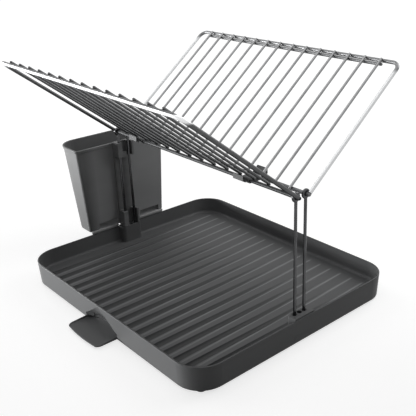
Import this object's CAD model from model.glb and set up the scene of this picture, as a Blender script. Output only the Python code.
import math
import bmesh
import bpy
from mathutils import Matrix, Vector


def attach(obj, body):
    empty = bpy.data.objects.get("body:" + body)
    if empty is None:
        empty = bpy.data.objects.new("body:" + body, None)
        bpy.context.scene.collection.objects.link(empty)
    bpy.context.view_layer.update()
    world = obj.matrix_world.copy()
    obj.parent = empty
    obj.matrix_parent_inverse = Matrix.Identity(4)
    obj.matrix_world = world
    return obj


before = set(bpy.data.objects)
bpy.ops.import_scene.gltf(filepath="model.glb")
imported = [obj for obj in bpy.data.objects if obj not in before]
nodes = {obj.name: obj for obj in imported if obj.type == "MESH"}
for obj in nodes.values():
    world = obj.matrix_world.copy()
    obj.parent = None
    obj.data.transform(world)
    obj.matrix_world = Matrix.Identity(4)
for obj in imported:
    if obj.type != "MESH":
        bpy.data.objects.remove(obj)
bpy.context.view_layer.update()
bpy.ops.object.select_all(action="DESELECT")
print("frame loaded:", len(nodes), "nodes")

# nearly all of a noise lies between these two values
noiseSpread = (0.3, 0.7)


def newMaterial(name):
    material = bpy.data.materials.new(name)
    material.use_nodes = True
    tree = material.node_tree
    shader = tree.nodes["Principled BSDF"]
    place = tree.nodes.new("ShaderNodeTexCoord")
    return material, tree, shader, place


def addNoise(tree, vector, scale, detail, stretch=(1, 1, 1)):
    # detail is the noise's detail and roughness; stretch squeezes it along an axis
    mapping = tree.nodes.new("ShaderNodeMapping")
    mapping.inputs["Scale"].default_value = stretch
    tree.links.new(vector, mapping.inputs["Vector"])
    noise = tree.nodes.new("ShaderNodeTexNoise")
    noise.inputs["Scale"].default_value = scale
    noise.inputs["Detail"].default_value, noise.inputs["Roughness"].default_value = detail
    tree.links.new(mapping.outputs["Vector"], noise.inputs["Vector"])
    return noise.outputs["Fac"]


def addRange(tree, value, low, high, fromLow=noiseSpread[0], fromHigh=noiseSpread[1]):
    node = tree.nodes.new("ShaderNodeMapRange")
    node.inputs["From Min"].default_value = fromLow
    node.inputs["From Max"].default_value = fromHigh
    node.inputs["To Min"].default_value = low
    node.inputs["To Max"].default_value = high
    tree.links.new(value, node.inputs["Value"])
    return node.outputs["Result"]


def addRamp(tree, value, dark, light):
    ramp = tree.nodes.new("ShaderNodeValToRGB")
    for element, position, color in zip(ramp.color_ramp.elements, noiseSpread, (dark, light)):
        element.position = position
        element.color = (*color, 1)
    tree.links.new(value, ramp.inputs["Fac"])
    return ramp.outputs["Color"]


def addBump(tree, height, strength, distance, before=None):
    bump = tree.nodes.new("ShaderNodeBump")
    bump.inputs["Strength"].default_value = strength
    bump.inputs["Distance"].default_value = distance
    tree.links.new(height, bump.inputs["Height"])
    if before:
        tree.links.new(before, bump.inputs["Normal"])
    return bump.outputs["Normal"]


def addMath(tree, operation, first, second=None, clamp=False):
    node = tree.nodes.new("ShaderNodeMath")
    node.operation = operation
    node.use_clamp = clamp
    for socket, value in zip(node.inputs, (first, second)):
        if value is None:
            continue
        if isinstance(value, (int, float)):
            socket.default_value = value
        else:
            tree.links.new(value, socket)
    return node.outputs[0]


def splitPlace(tree, vector):
    parts = tree.nodes.new("ShaderNodeSeparateXYZ")
    tree.links.new(vector, parts.inputs[0])
    return parts.outputs["X"], parts.outputs["Y"], parts.outputs["Z"]


def toneParts(material):
    tree = material.node_tree
    place = next(node for node in tree.nodes if node.type == "TEX_COORD")
    return tree, tree.nodes["Principled BSDF"], splitPlace(tree, place.outputs["Object"])


def mixBase(tree, shader, blend, factor, tone):
    # mixes a tone into the base colour; factor and tone are a fixed value or another node's output
    mix = tree.nodes.new("ShaderNodeMix")
    mix.data_type = "RGBA"
    mix.blend_type = blend
    mix.clamp_result = False
    if isinstance(factor, float):
        mix.inputs["Factor"].default_value = factor
    else:
        tree.links.new(factor, mix.inputs["Factor"])
    tree.links.new(shader.inputs["Base Color"].links[0].from_socket, mix.inputs["A"])
    if isinstance(tone, tuple):
        mix.inputs["B"].default_value = (*tone, 1)
    else:
        tree.links.new(tone, mix.inputs["B"])
    tree.links.new(mix.outputs["Result"], shader.inputs["Base Color"])


# Matte moulded plastic: a fine spark-eroded grain, faint flow marks and uneven gloss
def mouldedPlastic(name, look):
    material, tree, shader, place = newMaterial(name)
    vector = place.outputs["Object"]
    grain = addNoise(tree, vector, look["grainScale"], look["grainDetail"])
    flow = addNoise(tree, vector, look["flowScale"], look["flowDetail"], look["flowStretch"])
    tree.links.new(addRamp(tree, flow, look["dark"], look["light"]), shader.inputs["Base Color"])
    tree.links.new(addRange(tree, flow, look["roughLow"], look["roughHigh"]), shader.inputs["Roughness"])
    marks = addBump(tree, flow, look["flowStrength"], look["flowDepth"])
    surface = addBump(tree, grain, look["grainStrength"], look["grainDepth"], marks)
    tree.links.new(surface, shader.inputs["Normal"])
    shader.inputs["Specular IOR Level"].default_value = look["gloss"]
    return material


# Grooves of the tray: the far edge of each is rubbed lighter, and its near side holds a darker film;
# the light line drifts across as the groove narrows towards the rear
grooveTone = {
    "shiftX": 0.0306, "shiftY": 0.01477, "pitch": 0.02,
    "edgePlace": 0.003, "edgeDrift": 0.039, "edgeHalf": 0.0024, "edgeLight": (0.5, 1.3), "edgeReach": (-0.14, -0.04),
    "filmFrom": -0.0057, "filmEdge": 0.0012, "filmDark": 0.34, "filmGrow": 16.0, "filmFade": (0.115, 0.03),
    "frontEnd": (-0.156, -0.152), "rearEnd": (0.150, 0.156), "fieldHalf": 0.18, "top": 0.0112,
}


def addGrooveTone(material, look):
    tree, shader, (x, y, z) = toneParts(material)
    alongX = addMath(tree, "SUBTRACT", x, look["shiftX"])
    alongY = addMath(tree, "SUBTRACT", y, look["shiftY"])
    local = addMath(tree, "SUBTRACT", addMath(tree, "FLOORED_MODULO", alongX, look["pitch"]), look["pitch"] / 2)
    edge = addMath(tree, "SUBTRACT", look["edgePlace"], addMath(tree, "MULTIPLY", alongY, look["edgeDrift"]))
    fromEdge = addMath(tree, "ABSOLUTE", addMath(tree, "SUBTRACT", local, edge))
    light = addMath(tree, "SUBTRACT", 1.0, addMath(tree, "DIVIDE", fromEdge, look["edgeHalf"]), True)
    light = addMath(tree, "MULTIPLY", light, addRange(tree, alongY, *look["edgeLight"], *look["edgeReach"]))
    intoFilm = addMath(tree, "SUBTRACT", local, look["filmFrom"])
    nearSide = addMath(tree, "DIVIDE", intoFilm, look["filmEdge"], True)
    nearEdge = addMath(tree, "SUBTRACT", edge, look["edgeHalf"])
    farSide = addMath(tree, "DIVIDE", addMath(tree, "SUBTRACT", nearEdge, local), look["filmEdge"], True)
    fade = addRange(tree, alongY, 0.0, 1.0, *look["filmFade"])
    depth = addMath(tree, "MULTIPLY", intoFilm, look["filmGrow"])
    film = addMath(tree, "MULTIPLY", addMath(tree, "MULTIPLY", nearSide, farSide),
                   addMath(tree, "MULTIPLY", fade, addMath(tree, "ADD", depth, look["filmDark"])))
    tone = addMath(tree, "SUBTRACT", light, film)
    # only inside the field of grooves
    masks = [addMath(tree, "LESS_THAN", z, look["top"]),
             addRange(tree, alongY, 0.0, 1.0, *look["frontEnd"]),
             addRange(tree, alongY, 1.0, 0.0, *look["rearEnd"]),
             addMath(tree, "LESS_THAN", addMath(tree, "ABSOLUTE", alongX), look["fieldHalf"])]
    for mask in masks:
        tone = addMath(tree, "MULTIPLY", tone, mask)
    mixBase(tree, shader, "MULTIPLY", 1.0, addMath(tree, "ADD", tone, 1.0))


# Cup: its side towards the tray is paler than its outer side and its narrow front, which dulls towards the foot
cupTone = {
    "front": (-0.032, -0.050), "foot": (0.05, 0.16), "frontTone": (0.58, 0.92),
    "outer": (-0.188, -0.206), "innerTone": 1.45, "outerTone": 0.75,
}


def addCupTone(material, look):
    tree, shader, (x, y, z) = toneParts(material)
    front = addRange(tree, y, 0.0, 1.0, *look["front"])
    frontTone = addRange(tree, z, *look["frontTone"], *look["foot"])
    sideTone = addRange(tree, x, look["innerTone"], look["outerTone"], *look["outer"])
    change = addMath(tree, "SUBTRACT", frontTone, sideTone)
    tone = addMath(tree, "ADD", addMath(tree, "MULTIPLY", front, change), sideTone)
    mixBase(tree, shader, "MULTIPLY", 1.0, tone)


# Polished steel wire: fine drawing lines and a slightly uneven polish
def drawnWire(name, look):
    material, tree, shader, place = newMaterial(name)
    vector = place.outputs["Object"]
    lines = addNoise(tree, vector, look["lineScale"], look["lineDetail"], look["lineStretch"])
    cloud = addNoise(tree, vector, look["cloudScale"], look["cloudDetail"])
    tree.links.new(addRamp(tree, cloud, look["dark"], look["light"]), shader.inputs["Base Color"])
    tree.links.new(addRange(tree, cloud, look["roughLow"], look["roughHigh"]), shader.inputs["Roughness"])
    tree.links.new(addBump(tree, lines, look["lineStrength"], look["lineDepth"]), shader.inputs["Normal"])
    shader.inputs["Metallic"].default_value = 1.0
    if "outerRail" in look:
        # the outer rail of a leaf has another tone than the arms below it
        height = splitPlace(tree, vector)[2]
        mixBase(tree, shader, "MIX", addRange(tree, height, 0.0, 1.0, *look["railFrom"]), look["outerRail"])
        if "topLine" in look:
            # a dark line along the top of the rail
            mixBase(tree, shader, "MIX", addRange(tree, height, 0.0, 1.0, *look["topLine"]), look["dark"])
    return material


# Looks: the colours, gloss and surface of each finish
trayLook = {
    "dark": (0.108, 0.110, 0.112), "light": (0.122, 0.124, 0.126),
    "roughLow": 0.46, "roughHigh": 0.56, "gloss": 0.16,
    "grainScale": 1800.0, "grainDetail": (2.0, 0.6), "grainStrength": 0.35, "grainDepth": 0.00004,
    "flowScale": 14.0, "flowDetail": (4.0, 0.55), "flowStretch": (1.0, 1.0, 2.5),
    "flowStrength": 0.05, "flowDepth": 0.0003,
}
cupLook = dict(trayLook, dark=(0.178, 0.180, 0.182), light=(0.196, 0.198, 0.200))
clipLook = dict(trayLook, dark=(0.095, 0.097, 0.099), light=(0.110, 0.112, 0.114),
                flowScale=40.0, roughLow=0.36, roughHigh=0.46)
hangerLook = dict(clipLook, dark=(0.165, 0.167, 0.169), light=(0.190, 0.192, 0.194))
rubberLook = dict(trayLook, dark=(0.020, 0.020, 0.021), light=(0.030, 0.030, 0.031),
                  roughLow=0.75, roughHigh=0.9, grainScale=900.0)
crossWireLook = {
    "dark": (0.21, 0.212, 0.215), "light": (0.27, 0.272, 0.275),
    "roughLow": 0.26, "roughHigh": 0.36, "cloudScale": 60.0, "cloudDetail": (3.0, 0.5),
    "lineScale": 900.0, "lineDetail": (3.0, 0.6), "lineStretch": (1.0, 0.04, 0.04),
    "lineStrength": 0.2, "lineDepth": 0.00003,
}
frontWireLook = dict(crossWireLook, dark=(0.085, 0.086, 0.088), light=(0.115, 0.116, 0.118),
                     roughLow=0.42, roughHigh=0.52, lineStrength=0.08)
railLook = dict(crossWireLook, dark=(0.12, 0.122, 0.125), light=(0.16, 0.162, 0.165),
                lineStretch=(0.04, 1.0, 1.0), roughLow=0.5, roughHigh=0.6, lineStrength=0.04)
frontRailLook = dict(railLook, dark=(0.030, 0.031, 0.032), light=(0.042, 0.043, 0.044))
rearFrameLook = dict(railLook, dark=(0.50, 0.505, 0.51), light=(0.58, 0.585, 0.59),
                     roughLow=0.4, roughHigh=0.5, outerRail=(0.17, 0.172, 0.175), railFrom=(0.315, 0.319))
frontFrameLook = dict(rearFrameLook, dark=(0.075, 0.076, 0.078), light=(0.10, 0.101, 0.103),
                      outerRail=(0.78, 0.785, 0.79), topLine=(0.3259, 0.3263))
legLook = dict(crossWireLook, dark=(0.055, 0.056, 0.058), light=(0.085, 0.086, 0.088),
               roughLow=0.16, roughHigh=0.24, lineStretch=(1.0, 1.0, 0.04))

trayPlastic = mouldedPlastic("trayPlastic", trayLook)
cupPlastic = mouldedPlastic("cupPlastic", cupLook)
clipPlastic = mouldedPlastic("clipPlastic", clipLook)
hangerPlastic = mouldedPlastic("hangerPlastic", hangerLook)
addGrooveTone(trayPlastic, grooveTone)
addCupTone(cupPlastic, cupTone)
footRubber = mouldedPlastic("footRubber", rubberLook)
crossWireSteel = drawnWire("crossWireSteel", crossWireLook)
railSteel = drawnWire("railSteel", railLook)
frontRailSteel = drawnWire("frontRailSteel", frontRailLook)
frontWireSteel = drawnWire("frontWireSteel", frontWireLook)
rearFrameSteel = drawnWire("rearFrameSteel", rearFrameLook)
frontFrameSteel = drawnWire("frontFrameSteel", frontFrameLook)
legSteel = drawnWire("legSteel", legLook)

# the first key found in a node's name gives its finish
finishes = [
    ("drip_tray", trayPlastic), ("cutlery_cup", cupPlastic), ("cup_hanger", hangerPlastic),
    ("rail_clip", clipPlastic), ("foot_", footRubber), ("leg_", legSteel),
    ("front_cross_wire_", frontWireSteel), ("rear_cross_wire_", crossWireSteel),
    ("front_hinge_rail", frontRailSteel), ("_rail", railSteel), ("rear_leaf_frame", rearFrameSteel),
    ("front_leaf_frame", frontFrameSteel),
]
for name, node in nodes.items():
    finish = next(material for key, material in finishes if key in name)
    node.data.materials.clear()
    node.data.materials.append(finish)
print("finishes set:", len(finishes))

# Drip edges: a light soft strip under each side of the cup's foot, its lower edge drawn in to a drip lip
dripEdge = {
    "x": (-0.1706, -0.1663), "z": (0.0386, 0.0408), "ends": ((-0.0517, -0.0029), (0.0325, 0.0838)),
    "lipDrop": 0.0022, "lipScale": (0.6, 0.97, 1.0), "bevel": 0.0005, "bevelSteps": 3, "smoothAngle": 40,
}
dripEdgeLook = dict(trayLook, dark=(0.34, 0.343, 0.347), light=(0.40, 0.403, 0.407),
                    roughLow=0.6, roughHigh=0.7)
dripEdgeSoft = mouldedPlastic("dripEdgeSoft", dripEdgeLook)
for name, ends in zip(("dripEdgeFront", "dripEdgeRear"), dripEdge["ends"]):
    sides = (dripEdge["x"], ends, dripEdge["z"])
    middle = [(low + high) / 2 for low, high in sides]
    bpy.ops.object.select_all(action="DESELECT")
    bpy.ops.mesh.primitive_cube_add(size=1, location=middle)
    strip = bpy.context.object
    strip.name = name
    strip.scale = [high - low for low, high in sides]
    bpy.ops.object.transform_apply(location=True, rotation=True, scale=True)
    bpy.ops.object.mode_set(mode="EDIT")
    bpy.ops.mesh.select_mode(type="FACE")
    bpy.ops.mesh.select_all(action="DESELECT")
    shape = bmesh.from_edit_mesh(strip.data)
    for face in shape.faces:
        face.select_set(face.normal.z < -0.9)  # the underside only
    bmesh.update_edit_mesh(strip.data)
    bpy.ops.mesh.extrude_region_move(TRANSFORM_OT_translate={"value": (0, 0, -dripEdge["lipDrop"])})
    lipPlace = (middle[0], middle[1], dripEdge["z"][0] - dripEdge["lipDrop"])
    bpy.ops.transform.resize(value=dripEdge["lipScale"], center_override=lipPlace)
    bpy.ops.mesh.select_all(action="SELECT")
    bpy.ops.mesh.bevel(offset=dripEdge["bevel"], segments=dripEdge["bevelSteps"], affect="EDGES")
    bpy.ops.mesh.normals_make_consistent(inside=False)
    bpy.ops.object.mode_set(mode="OBJECT")
    bpy.ops.object.shade_smooth_by_angle(angle=math.radians(dripEdge["smoothAngle"]))
    strip.data.materials.append(dripEdgeSoft)
    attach(strip, "cup_holder")
print("drip edges made")

# Floor: a plain pale floor that turns white, apart from the shadow, to the camera and in reflections
studio = {
    "floorSize": 14.0, "floorColor": (0.5, 0.5, 0.5), "floorRough": 0.9, "floorGloss": 0.0,
    "floorGlow": 0.72, "farGlow": 1.0, "glowReach": (0.45, 1.3),
    "whiteColor": (1.0, 1.0, 1.0), "worldStrength": 0.10, "showWhite": 1.0,
}


def seenRays(tree):
    # 1 for camera, glossy and transmission rays, 0 for all light that falls on the object
    path = tree.nodes.new("ShaderNodeLightPath")
    total = path.outputs["Is Camera Ray"]
    for other in ("Is Glossy Ray", "Is Transmission Ray"):
        total = addMath(tree, "MAXIMUM", total, path.outputs[other])
    return total


bpy.ops.mesh.primitive_plane_add(size=studio["floorSize"], location=(0, 0, 0))
floor = bpy.context.object
floor.name = "floor"
floorMaterial, floorTree, floorShader, floorPlace = newMaterial("floorPaint")
floorShader.inputs["Base Color"].default_value = (*studio["floorColor"], 1)
floorShader.inputs["Roughness"].default_value = studio["floorRough"]
floorShader.inputs["Specular IOR Level"].default_value = studio["floorGloss"]
floorShader.inputs["Emission Color"].default_value = (*studio["whiteColor"], 1)
floorX, floorY = splitPlace(floorTree, floorPlace.outputs["Object"])[:2]
squares = [addMath(floorTree, "POWER", along, 2.0) for along in (floorX, floorY)]
away = addMath(floorTree, "SQRT", addMath(floorTree, "ADD", *squares))
glow = addRange(floorTree, away, studio["floorGlow"], studio["farGlow"], *studio["glowReach"])
shownGlow = addMath(floorTree, "MULTIPLY", glow, seenRays(floorTree))
floorTree.links.new(shownGlow, floorShader.inputs["Emission Strength"])
floor.data.materials.append(floorMaterial)

world = bpy.data.worlds.new("studioWorld")
bpy.context.scene.world = world
world.use_nodes = True
worldTree = world.node_tree
background = worldTree.nodes["Background"]
background.inputs["Color"].default_value = (*studio["whiteColor"], 1)
worldLight = addRange(worldTree, seenRays(worldTree), studio["worldStrength"], studio["showWhite"], 0.0, 1.0)
worldTree.links.new(worldLight, background.inputs["Strength"])

# Lamps: two low ones from the left and the front, two soft ones from above and one for the inside
lamps = [
    {"name": "leftLamp", "place": (-1.5, -0.9, 0.12), "size": (1.0, 0.24), "power": 25.0, "aim": (0, 0, 0.05)},
    {"name": "frontLamp", "place": (-1.1, -1.35, 0.05), "size": (1.2, 0.1), "power": 27.0, "aim": (0, 0, 0.05)},
    {"name": "topLeftLamp", "place": (-1.2, -0.1, 1.1), "size": (0.8, 0.8), "power": 3.7, "aim": (0, 0, 0)},
    {"name": "topLamp", "place": (0.05, 0.0, 1.1), "size": (0.8, 0.8), "power": 2.0, "aim": (0.05, 0, 0)},
    {"name": "insideLamp", "place": (0.2, 0.6, 0.6), "size": (0.5, 0.5), "power": 2.4, "aim": (-0.2, 0, 0.1)},
]
for lamp in lamps:
    bpy.ops.object.light_add(type="AREA", location=lamp["place"])
    light = bpy.context.object
    light.name = lamp["name"]
    light.data.shape = "RECTANGLE"
    light.data.size, light.data.size_y = lamp["size"]
    light.data.energy = lamp["power"]
    light.visible_camera = False
    aim = Vector(lamp["aim"]) - Vector(lamp["place"])
    light.rotation_euler = aim.to_track_quat("-Z", "Y").to_euler()
print("studio set")

# Camera: the photograph's viewing angle, found from the tray's rim, the legs and the rails
cameraSettings = {
    "azimuth": 47.85, "elevation": 23.08, "roll": -1.04,
    "place": (0.7249, -0.5242, 0.4949), "lens": 59.07, "sensor": 36.0, "shiftX": -0.0987,
}
azimuth, elevation, roll = (math.radians(cameraSettings[key]) for key in ("azimuth", "elevation", "roll"))
back = Vector((math.sin(azimuth) * math.cos(elevation), -math.cos(azimuth) * math.cos(elevation),
               math.sin(elevation)))
levelRight = (-back).cross(Vector((0, 0, 1))).normalized()
levelUp = levelRight.cross(-back)
cameraRight = math.cos(roll) * levelRight + math.sin(roll) * levelUp
cameraUp = -math.sin(roll) * levelRight + math.cos(roll) * levelUp
bpy.ops.object.camera_add()
camera = bpy.context.object
camera.name = "photoCamera"
turn = Matrix((cameraRight, cameraUp, back)).transposed().to_4x4()
camera.matrix_world = Matrix.Translation(cameraSettings["place"]) @ turn
camera.data.lens = cameraSettings["lens"]
camera.data.sensor_width = cameraSettings["sensor"]
camera.data.shift_x = cameraSettings["shiftX"]
bpy.context.scene.camera = camera
bpy.context.scene.view_settings.view_transform = "Standard"
print("camera set")
